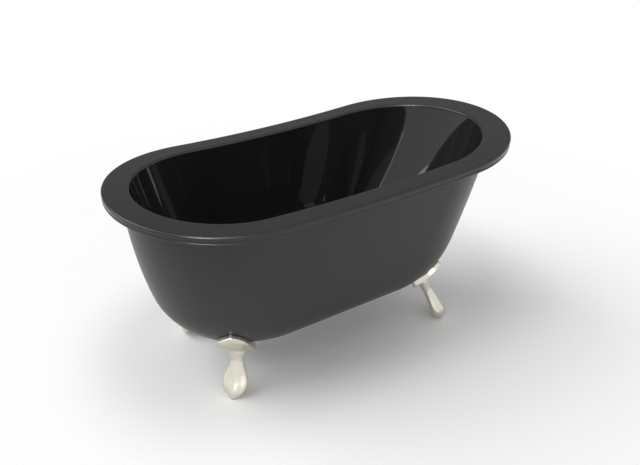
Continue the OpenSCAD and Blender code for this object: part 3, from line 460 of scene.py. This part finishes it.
# the leg is ovals carried down a curve from inside the cap to the sole, with a ridge between two valleys in front
def makeLeg(name, s, end):
    turn = np.linspace(0, 2 * np.pi, s["legPoints"], endpoint=False)
    c, v = np.cos(turn), np.sin(turn)
    sole = np.array([*ofEnd(s["soles"], end), 0.0])
    inward = np.array([-end, 1.0, 0]) / np.sqrt(2)
    path = np.array([*ofEnd(s["legTops"], end), ofEnd(s["legBends"], end), s["legFoot"]])
    t = np.linspace(0, 1, s["legSteps"])
    b = np.stack([(1 - t) ** 3, 3 * t * (1 - t) ** 2, 3 * t * t * (1 - t), t**3], -1) @ path
    middle = sole + b[:, :1] * inward + b[:, 1:] * np.array([0, 0, 1.0])
    way = unit(np.gradient(middle, axis=0))
    way = unit(way * (1 - t[:, None] ** 2) + np.array([0, 0, -1.0]) * t[:, None] ** 2)
    across = np.array([end * 1.0, 1.0, 0]) / np.sqrt(2)
    front = unit(np.cross(way, across)) * end
    rows = np.array(s["legRows"])
    wide, deep = [np.interp(t, rows[:, 0], rows[:, k]) / 1000 for k in (1, 2)]
    kept = ofEnd(s["ballDepth"], end)
    deep = deep * np.interp(t, s["ballSpan"], [1, kept, kept, 1])
    kernel = np.array(s["legSmooth"]) / sum(s["legSmooth"])
    inside = slice(len(kernel) // 2, -(len(kernel) // 2))
    wide[inside], deep[inside] = np.convolve(wide, kernel, "valid"), np.convolve(deep, kernel, "valid")
    off = np.degrees(turn) - 90.0
    swell = np.interp(t, s["reliefSpan"], [0, 1, 1, 0])[:, None]
    relief = (s["ridge"] * np.exp(-((off / s["ridgeWidth"]) ** 2))
              - s["valley"] * np.exp(-(((np.abs(off) - s["valleyAt"]) / s["valleyWidth"]) ** 2)))
    grow = 1 + swell * relief / deep[:, None]
    leg = (middle[:, None] + across * (wide[:, None] * c * grow)[..., None]
           + front[:, None] * (deep[:, None] * v * grow)[..., None])
    return gridMesh(name, leg if end > 0 else leg[:, ::-1], caps=True)


def pointsOf(mesh):
    points = np.empty(len(mesh.vertices) * 3)
    mesh.vertices.foreach_get("co", points)
    return points.reshape(-1, 3)


def bake(obj, name):
    mesh = bpy.data.meshes.new_from_object(obj.evaluated_get(bpy.context.evaluated_depsgraph_get()))
    mesh.name = name
    return addObject(name, mesh)


def dropObject(obj):
    mesh = obj.data
    bpy.data.objects.remove(obj)
    bpy.data.meshes.remove(mesh)


# each round moves a point half way to the mean of its neighbours, times its weight
def relax(mesh, points, weight, rounds):
    edges = np.empty(len(mesh.edges) * 2, int)
    mesh.edges.foreach_get("vertices", edges)
    a, b = edges.reshape(-1, 2).T
    ends, others = np.concatenate([a, b]), np.concatenate([b, a])
    count = np.bincount(ends, minlength=len(points))[:, None]
    for _ in range(rounds):
        total = np.stack([np.bincount(ends, points[others, k], len(points)) for k in range(3)], -1)
        points = points + 0.5 * weight[:, None] * (total / count - points)
    return points


# cap and leg are melted together on a fine grid and smoothed, most where they meet, then the flat sole is put back
def makeFoot(name, s, end):
    cap, leg = makeCap(name + "Cap", s, end), makeLeg(name + "Leg", s, end)
    ringMiddles = pointsOf(leg.data).reshape(s["legSteps"], -1, 3).mean(axis=1)
    neck = ringMiddles[int(s["neckAt"] * s["legSteps"])]
    bpy.ops.object.select_all(action="DESELECT")
    cap.select_set(True)
    leg.select_set(True)
    bpy.context.view_layer.objects.active = cap
    bpy.ops.object.join()
    melt = cap.modifiers.new("melt", "REMESH")
    melt.mode, melt.voxel_size, melt.use_smooth_shade = "VOXEL", s["grain"], True
    piece = bake(cap, name)
    dropObject(cap)
    points = pointsOf(piece.data)
    points = relax(piece.data, points, np.ones(len(points)), s["blend"])
    near = np.clip(s["neckFade"] - np.linalg.norm(points - neck, axis=1) / s["neckReach"], 0, 1)
    points = relax(piece.data, points, near, s["neckBlend"])
    points[:, 2] = np.maximum(points[:, 2], s["legFoot"][1])
    piece.data.vertices.foreach_set("co", points.ravel())
    piece.data.update()
    return piece


# the back feet are the front ones mirrored in y, with their faces turned back outwards
def mirrored(piece, name):
    mesh = piece.data.copy()
    mesh.name = name
    mesh.transform(Matrix.Diagonal((1, -1, 1, 1)))
    mesh.flip_normals()
    return addObject(name, mesh)


feet = []
for end, column in ((1, "right"), (-1, "left")):
    frontFoot = makeFoot("front" + column.title() + "FootPiece", foot, end)
    backFoot = mirrored(frontFoot, "back" + column.title() + "FootPiece")
    for piece, row in ((frontFoot, "front"), (backFoot, "back")):
        feet.append(piece)
        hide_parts(row + "_" + column + "_foot")
        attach(piece, "tub")
print("feet made")


# nodes: addNode returns the node, the other helpers the socket that carries their result


def addNode(tree, kind, values=None, **settings):
    node = tree.nodes.new(kind)
    for key, value in settings.items():
        setattr(node, key, value)
    for key, value in (values or {}).items():
        node.inputs[key].default_value = value
    return node


def addValues(tree, first, second, operation="ADD", clamp=False):
    node = addNode(tree, "ShaderNodeMath", operation=operation, use_clamp=clamp)
    for socket, value in zip(node.inputs, (first, second)):
        if isinstance(value, float):
            socket.default_value = value
        else:
            tree.links.new(value, socket)
    return node.outputs[0]


def mapValue(tree, source, low, high):
    node = addNode(tree, "ShaderNodeMapRange", {"To Min": low, "To Max": high})
    tree.links.new(source, node.inputs["Value"])
    return node.outputs[0]


# a range of the source stretched to 0 to 1
def spreadValue(tree, source, low, high, **settings):
    node = addNode(tree, "ShaderNodeMapRange", {"From Min": low, "From Max": high}, **settings)
    tree.links.new(source, node.inputs["Value"])
    return node.outputs[0]


def mixColors(tree, factor, first, second):
    node = addNode(tree, "ShaderNodeMix", data_type="RGBA")
    tree.links.new(factor, node.inputs[0])
    for socket, value in ((node.inputs[6], first), (node.inputs[7], second)):
        if isinstance(value, tuple):
            socket.default_value = (*value, 1)
        else:
            tree.links.new(value, socket)
    return node.outputs[2]


def addNoise(tree, vector, scale, detail, roughness, distortion=0.0):
    values = {"Detail": detail, "Roughness": roughness, "Distortion": distortion}
    node = addNode(tree, "ShaderNodeTexNoise", values)
    tree.links.new(vector, node.inputs["Vector"])
    if isinstance(scale, float):
        node.inputs["Scale"].default_value = scale
    else:
        tree.links.new(scale, node.inputs["Scale"])
    return node.outputs[0]


def addBump(tree, shader, height, depth):
    bump = addNode(tree, "ShaderNodeBump", {"Strength": 1.0, "Distance": depth})
    tree.links.new(height, bump.inputs["Height"])
    tree.links.new(bump.outputs[0], shader.inputs["Normal"])


# share of the world's up direction in the surface's normal
def addUpward(tree):
    shape = addNode(tree, "ShaderNodeNewGeometry")
    split = addNode(tree, "ShaderNodeSeparateXYZ")
    tree.links.new(shape.outputs["Normal"], split.inputs[0])
    return split.outputs["Z"]


def newGroup(name, inputs, outputs):
    tree = bpy.data.node_groups.new(name, "ShaderNodeTree")
    for label, value in inputs:
        socket = tree.interface.new_socket(name=label, in_out="INPUT", socket_type="NodeSocketFloat")
        socket.default_value = value
    for label in outputs:
        tree.interface.new_socket(name=label, in_out="OUTPUT", socket_type="NodeSocketFloat")
    return tree, tree.nodes.new("NodeGroupInput"), tree.nodes.new("NodeGroupOutput")


# fine grain and broad clouds, both 0 to 1, from two noises in Object coordinates
def makeGrainGroup():
    tree, given, out = newGroup("surfaceGrain", (("Fine Scale", 400.0), ("Broad Scale", 6.0), ("Stretch", 1.0)),
                                ("Fine", "Broad"))
    place = addNode(tree, "ShaderNodeTexCoord")
    along = addNode(tree, "ShaderNodeCombineXYZ", {0: 1.0, 1: 1.0})
    tree.links.new(given.outputs["Stretch"], along.inputs[2])
    pull = addNode(tree, "ShaderNodeVectorMath", operation="MULTIPLY")
    tree.links.new(place.outputs["Object"], pull.inputs[0])
    tree.links.new(along.outputs[0], pull.inputs[1])
    for label, detail, roughness in (("Fine", 4.0, 0.6), ("Broad", 5.0, 0.55)):
        noise = addNoise(tree, pull.outputs[0], given.outputs[label + " Scale"], detail, roughness)
        tree.links.new(spreadValue(tree, noise, 0.25, 0.75), out.inputs[label])
    return tree


# dust settles on faces that look up, in broken patches: upward share of the normal times a noise
def makeDustGroup():
    tree, given, out = newGroup("settledDust", (("Scale", 60.0), ("Amount", 1.0)), ("Mask",))
    place = addNode(tree, "ShaderNodeTexCoord")
    upward = spreadValue(tree, addUpward(tree), 0.2, 1.0)
    noise = addNoise(tree, place.outputs["Object"], given.outputs["Scale"], detail=8.0, roughness=0.7)
    both = addValues(tree, upward, spreadValue(tree, noise, 0.42, 0.70), "MULTIPLY")
    tree.links.new(addValues(tree, both, given.outputs["Amount"], "MULTIPLY", clamp=True), out.inputs["Mask"])
    return tree


# thin wiping marks: a noise drawn out long and cut to its peaks
def makeMarksGroup():
    tree, given, out = newGroup("wipeMarks", (("Scale", 12.0), ("Amount", 1.0)), ("Mask",))
    place = addNode(tree, "ShaderNodeTexCoord")
    turn = addNode(tree, "ShaderNodeMapping", {"Rotation": (0.3, 0.5, 0.7), "Scale": (1.0, 9.0, 3.0)})
    tree.links.new(place.outputs["Object"], turn.inputs["Vector"])
    noise = addNoise(tree, turn.outputs[0], given.outputs["Scale"], detail=10.0, roughness=0.75, distortion=0.6)
    peaks = spreadValue(tree, noise, 0.56, 0.74)
    tree.links.new(addValues(tree, peaks, given.outputs["Amount"], "MULTIPLY", clamp=True), out.inputs["Mask"])
    return tree


grainGroup, dustGroup, marksGroup = makeGrainGroup(), makeDustGroup(), makeMarksGroup()


def useGroup(tree, group, **values):
    node = tree.nodes.new("ShaderNodeGroup")
    node.node_tree = group
    for key, value in values.items():
        node.inputs[key.replace("_", " ")].default_value = value
    return node


def newMaterial(name):
    mat = bpy.data.materials.new(name)
    mat.use_nodes = True
    tree = mat.node_tree
    return mat, tree, tree.nodes["Principled BSDF"]


# what a finish says only where it differs
usualFinish = {
    "stretch": 1.0, "dustScale": 60.0, "dustShare": 0.3, "dustRough": 0.15,
    "marksScale": 12.0, "marksRough": 0.06, "metal": 0.0, "ior": 1.5,
}


# a coated, cast or moulded surface: two tones in broad clouds, fine relief, and roughness from clouds, grain,
# dust and wiping marks
def makeFinish(name, given):
    s = {**usualFinish, **given}
    mat, tree, shader = newMaterial(name)
    grain = useGroup(tree, grainGroup, Fine_Scale=s["fine"], Broad_Scale=s["broad"], Stretch=s["stretch"])
    dust = useGroup(tree, dustGroup, Scale=s["dustScale"], Amount=s["dust"])
    marks = useGroup(tree, marksGroup, Scale=s["marksScale"], Amount=s["marks"])
    color = mixColors(tree, grain.outputs["Broad"], s["dark"], s["light"])
    if "speckle" in s:
        color = mixColors(tree, mapValue(tree, grain.outputs["Fine"], 0.0, s["speckle"]), color, s["speckleColor"])
    color = mixColors(tree, mapValue(tree, dust.outputs[0], 0.0, s["dustShare"]), color, s["dustColor"])
    rough = mapValue(tree, grain.outputs["Broad"], *s["rough"])
    for source, low, high in ((grain.outputs["Fine"], -s["roughFine"], s["roughFine"]),
                              (dust.outputs[0], 0.0, s["dustRough"]), (marks.outputs[0], 0.0, s["marksRough"])):
        rough = addValues(tree, rough, mapValue(tree, source, low, high))
    tree.links.new(color, shader.inputs["Base Color"])
    tree.links.new(rough, shader.inputs["Roughness"])
    shader.inputs["Metallic"].default_value = s["metal"]
    shader.inputs["IOR"].default_value = s["ior"]
    addBump(tree, shader, grain.outputs["Fine"], s["relief"])
    return mat


satin = {
    "fine": 420.0, "broad": 5.0, "ior": 1.45, "roughFine": 0.015, "relief": 0.000012,
    "dust": 0.5, "dustShare": 0.012, "dustRough": 0.05, "dustColor": (0.30, 0.29, 0.27),
    "marks": 0.5, "marksRough": 0.04,
}
finishes = {
    "satinCharcoal": {
        **satin, "dark": (0.0145, 0.0145, 0.0152), "light": (0.0185, 0.0185, 0.0192), "rough": (0.33, 0.38)},
    "satinRim": {
        **satin, "dark": (0.0140, 0.0140, 0.0147), "light": (0.0180, 0.0180, 0.0187), "rough": (0.22, 0.26)},
    "glossBlack": {
        "fine": 160.0, "broad": 4.0, "dark": (0.0125, 0.0120, 0.0125), "light": (0.0155, 0.015, 0.0155),
        "rough": (0.035, 0.055), "roughFine": 0.005, "relief": 0.000003,
        "dust": 0.3, "dustShare": 0.006, "dustRough": 0.02, "dustColor": (0.30, 0.29, 0.27),
        "marks": 0.5, "marksRough": 0.02},
    "castChampagne": {
        "fine": 260.0, "broad": 22.0, "dark": (0.66, 0.635, 0.54), "light": (0.75, 0.72, 0.625),
        "rough": (0.20, 0.27), "roughFine": 0.02, "relief": 0.00003, "metal": 0.97,
        "dust": 0.5, "dustShare": 0.15, "dustColor": (0.62, 0.58, 0.48),
        "marks": 0.7, "marksRough": 0.12, "marksScale": 40.0},
    "primerSteel": {
        "fine": 900.0, "broad": 14.0, "dark": (0.13, 0.14, 0.15), "light": (0.19, 0.20, 0.21),
        "rough": (0.48, 0.62), "roughFine": 0.05, "relief": 0.00005,
        "speckle": 0.35, "speckleColor": (0.25, 0.25, 0.26),
        "dust": 1.0, "dustColor": (0.35, 0.33, 0.30), "marks": 0.8},
    "zincPlate": {
        "fine": 1500.0, "broad": 90.0, "dark": (0.50, 0.50, 0.52), "light": (0.66, 0.66, 0.68),
        "rough": (0.30, 0.48), "roughFine": 0.04, "relief": 0.00002, "metal": 1.0,
        "dust": 0.6, "dustColor": (0.45, 0.44, 0.42), "marks": 0.8, "marksScale": 80.0},
    "graphiteMetal": {
        "fine": 1400.0, "broad": 30.0, "stretch": 0.03, "dark": (0.16, 0.16, 0.17), "light": (0.24, 0.24, 0.25),
        "rough": (0.22, 0.32), "roughFine": 0.06, "relief": 0.000012, "metal": 1.0,
        "dust": 0.3, "dustColor": (0.30, 0.30, 0.30), "marks": 0.6, "marksScale": 60.0},
    "padRubber": {
        "fine": 1100.0, "broad": 60.0, "dark": (0.022, 0.022, 0.022), "light": (0.036, 0.036, 0.036),
        "rough": (0.68, 0.82), "roughFine": 0.06, "relief": 0.00008,
        "dust": 1.0, "dustColor": (0.25, 0.24, 0.22), "marks": 0.6},
    "sealRubber": {
        "fine": 1600.0, "broad": 70.0, "dark": (0.014, 0.014, 0.014), "light": (0.024, 0.024, 0.024),
        "rough": (0.55, 0.66), "roughFine": 0.04, "relief": 0.00003,
        "dust": 0.4, "dustColor": (0.2, 0.2, 0.2), "marks": 0.4},
    "mouldedPlastic": {
        "fine": 2400.0, "broad": 24.0, "dark": (0.10, 0.10, 0.11), "light": (0.135, 0.135, 0.145),
        "rough": (0.42, 0.52), "roughFine": 0.05, "relief": 0.00003,
        "dust": 0.8, "dustColor": (0.33, 0.32, 0.30), "marks": 0.7},
}
materials = {name: makeFinish(name, s) for name, s in finishes.items()}


# plywood: grain drawn out along the board on its faces, thin dark glue lines between the plies on its edges
board = {
    "ply": 0.0026,
    "lineWidth": 0.0003,  # of the glue lines, and how far they hide the wood
    "lineShare": 0.8,
    "grainScale": 34.0,
    "dark": (0.42, 0.28, 0.15),
    "light": (0.68, 0.52, 0.33),
    "glue": (0.20, 0.12, 0.06),
    "rough": (0.82, 0.62),
    "relief": 0.0002,
}


def makePlywood(s):
    mat, tree, shader = newMaterial("rawPlywood")
    place = addNode(tree, "ShaderNodeTexCoord")
    long = addNode(tree, "ShaderNodeMapping", {"Scale": (1.0, 9.0, 9.0)})
    tree.links.new(place.outputs["Object"], long.inputs["Vector"])
    noise = addNoise(tree, long.outputs[0], s["grainScale"], detail=9.0, roughness=0.65, distortion=0.8)
    spread = spreadValue(tree, noise, 0.3, 0.7)
    split = addNode(tree, "ShaderNodeSeparateXYZ")
    tree.links.new(place.outputs["Object"], split.inputs[0])
    plies = addValues(tree, split.outputs["Z"], s["ply"], "PINGPONG")
    nearLine = {"From Min": s["lineWidth"], "From Max": 0.0, "To Max": s["lineShare"]}
    line = addNode(tree, "ShaderNodeMapRange", nearLine)
    tree.links.new(plies, line.inputs["Value"])
    flat = addNode(tree, "ShaderNodeMath", operation="ABSOLUTE")
    tree.links.new(addUpward(tree), flat.inputs[0])
    edge = addValues(tree, 1.0, flat.outputs[0], "SUBTRACT")
    glue = addValues(tree, edge, line.outputs[0], "MULTIPLY")
    color = mixColors(tree, glue, mixColors(tree, spread, s["dark"], s["light"]), s["glue"])
    tree.links.new(color, shader.inputs["Base Color"])
    tree.links.new(mapValue(tree, spread, *s["rough"]), shader.inputs["Roughness"])
    addBump(tree, shader, spread, s["relief"])
    return mat


materials["rawPlywood"] = makePlywood(board)

dressed = {
    "satinRim": ("rim",),
    "satinCharcoal": ("outer_skin",),
    "glossBlack": ("basin",),
    "rawPlywood": ("base_board",),
    "castChampagne": ("front_left_foot", "front_right_foot", "back_left_foot", "back_right_foot"),
    "padRubber": ("front_left_pad", "front_right_pad", "back_left_pad", "back_right_pad"),
    "primerSteel": ("front_rail", "back_rail", "left_brace", "right_brace"),
    "zincPlate": ("foot_studs", "foot_washers", "foot_nuts", "board_screws", "brace_bolts"),
    "sealRubber": ("drain_gasket", "stopper_seal", "overflow_gasket", "pipe_grommet"),
    "mouldedPlastic": ("drain_shoe", "overflow_body", "overflow_pipe", "waste_tee", "slip_nuts", "stopper_sleeve"),
    "graphiteMetal": ("drain_flange", "stopper_cap", "stopper_stem", "overflow_plate", "overflow_screw", "tailpiece"),
}


def dress(obj, name):
    obj.data.materials.clear()
    obj.data.materials.append(materials[name])


dress(rimPiece, "satinRim")
dress(outerSkinPiece, "satinCharcoal")
dress(basinPiece, "glossBlack")
for piece in feet:
    dress(piece, "castChampagne")
for finish, names in dressed.items():
    for name in names:
        dress(nodes[name], finish)
print("materials made")


# floor and light

studio = {
    "floorColor": (0.965, 0.965, 0.965),
    "floorHalf": 14.0,
    "floorCells": 28,
    "whiteFrom": 0.68,  # distance from the tub's middle at which the floor starts turning plain white for camera
    "whiteAt": 2.6,  # and glosses, and at which it is
    "skyLight": 0.56,  # the world's strength as a light, and as camera and glosses see it
    "skySeen": 1.0,
    "dimWay": (0.45, 0.70, 0.55),  # glosses see less of the world round this direction, down to dimSeen:
    "dimSeen": 0.33,
    "dimFrom": 0.45,  # cosines of the angle to it at which the dimming starts and is full
    "dimAt": 0.85,
    "leftSun": {"way": (-0.62, 0.42, 0.66), "power": 1.55, "spread": 50.0},
    "boxes": {  # where lights is False, a box only shows in glosses
        "topBox": {"place": (-0.35, -0.25, 3.0), "size": (0.9, 0.9), "power": 20.0, "lights": True},
        "edgeBox": {"place": (-1.5, -1.5, 2.6), "size": (0.8, 0.8), "power": 50.0, "lights": False},
        "frontBox": {"place": (-1.3, -2.3, 1.8), "size": (2.2, 1.6), "power": 12.0, "lights": False},
    },
}


# matt paint near the tub, and plain white emission further out for rays from the camera and from glosses
def makeFloor(s):
    half, cells = s["floorHalf"], s["floorCells"]
    line = np.linspace(-half, half, cells + 1)
    x, y = np.meshgrid(line, line, indexing="ij")
    points = np.stack([x.ravel(), y.ravel(), 0 * x.ravel()], -1)
    k = np.arange(cells)[:, None] * (cells + 1) + np.arange(cells)[None]
    quads = np.stack([k, k + cells + 1, k + cells + 2, k + 1], -1).reshape(-1, 4)
    mesh = bpy.data.meshes.new("floor")
    mesh.from_pydata(points.tolist(), [], quads.tolist())
    mat, tree, shader = newMaterial("floorPaint")
    shader.inputs["Base Color"].default_value = (*s["floorColor"], 1)
    shader.inputs["Roughness"].default_value = 1.0
    shader.inputs["Specular IOR Level"].default_value = 0.0
    place = addNode(tree, "ShaderNodeTexCoord")
    away = addNode(tree, "ShaderNodeVectorMath", operation="LENGTH")
    tree.links.new(place.outputs["Object"], away.inputs[0])
    far = spreadValue(tree, away.outputs["Value"], s["whiteFrom"], s["whiteAt"], interpolation_type="SMOOTHSTEP")
    seen = addNode(tree, "ShaderNodeLightPath")
    either = addValues(tree, seen.outputs["Is Camera Ray"], seen.outputs["Is Glossy Ray"], "MAXIMUM")
    white = addNode(tree, "ShaderNodeEmission", {"Color": (1, 1, 1, 1), "Strength": 1.0})
    mix = addNode(tree, "ShaderNodeMixShader")
    tree.links.new(addValues(tree, far, either, "MULTIPLY"), mix.inputs[0])
    tree.links.new(shader.outputs[0], mix.inputs[1])
    tree.links.new(white.outputs[0], mix.inputs[2])
    tree.links.new(mix.outputs[0], tree.nodes["Material Output"].inputs["Surface"])
    mesh.materials.append(mat)
    return addObject("floor", mesh)


floor = makeFloor(studio)


# light from every side at one strength; the camera sees it plain white, and a gloss sees it darker round dimWay
def makeWorld(s):
    world = bpy.data.worlds.new("studio")
    bpy.context.scene.world = world
    world.use_nodes = True
    tree = world.node_tree
    back = tree.nodes["Background"]
    back.inputs["Color"].default_value = (1, 1, 1, 1)
    seen = addNode(tree, "ShaderNodeLightPath")
    plain = addValues(tree, seen.outputs["Is Camera Ray"], seen.outputs["Is Transmission Ray"], "MAXIMUM")
    place = addNode(tree, "ShaderNodeTexCoord")
    dimWay = tuple(Vector(s["dimWay"]).normalized())
    toward = addNode(tree, "ShaderNodeVectorMath", {1: dimWay}, operation="DOT_PRODUCT")
    tree.links.new(place.outputs["Generated"], toward.inputs[0])
    near = {"From Min": s["dimFrom"], "From Max": s["dimAt"], "To Min": s["skySeen"], "To Max": s["dimSeen"]}
    gloss = addNode(tree, "ShaderNodeMapRange", near, interpolation_type="SMOOTHSTEP")
    tree.links.new(toward.outputs["Value"], gloss.inputs["Value"])
    light = addNode(tree, "ShaderNodeMix", {2: s["skyLight"]}, data_type="FLOAT")
    tree.links.new(seen.outputs["Is Glossy Ray"], light.inputs[0])
    tree.links.new(gloss.outputs[0], light.inputs[3])
    blend = addNode(tree, "ShaderNodeMix", {3: s["skySeen"]}, data_type="FLOAT")
    tree.links.new(plain, blend.inputs[0])
    tree.links.new(light.outputs[0], blend.inputs[2])
    tree.links.new(blend.outputs[0], back.inputs["Strength"])


def makeLamps(s):
    sun = bpy.data.lights.new("leftSun", "SUN")
    sun.energy, sun.angle = s["leftSun"]["power"], np.radians(s["leftSun"]["spread"])
    addObject("leftSun", sun).rotation_euler = Vector(s["leftSun"]["way"]).to_track_quat("Z", "Y").to_euler()
    aim = Vector((0, 0, body["rimHeight"] / 2))
    for name, b in s["boxes"].items():
        lamp = bpy.data.lights.new(name, "AREA")
        lamp.shape, lamp.size, lamp.size_y, lamp.energy = "RECTANGLE", *b["size"], b["power"]
        obj = addObject(name, lamp)
        obj.location = b["place"]
        obj.rotation_euler = (Vector(b["place"]) - aim).to_track_quat("Z", "Y").to_euler()
        obj.visible_diffuse = b["lights"]


makeWorld(studio)
makeLamps(studio)
bpy.context.scene.view_settings.view_transform = "Standard"
print("floor and light made")
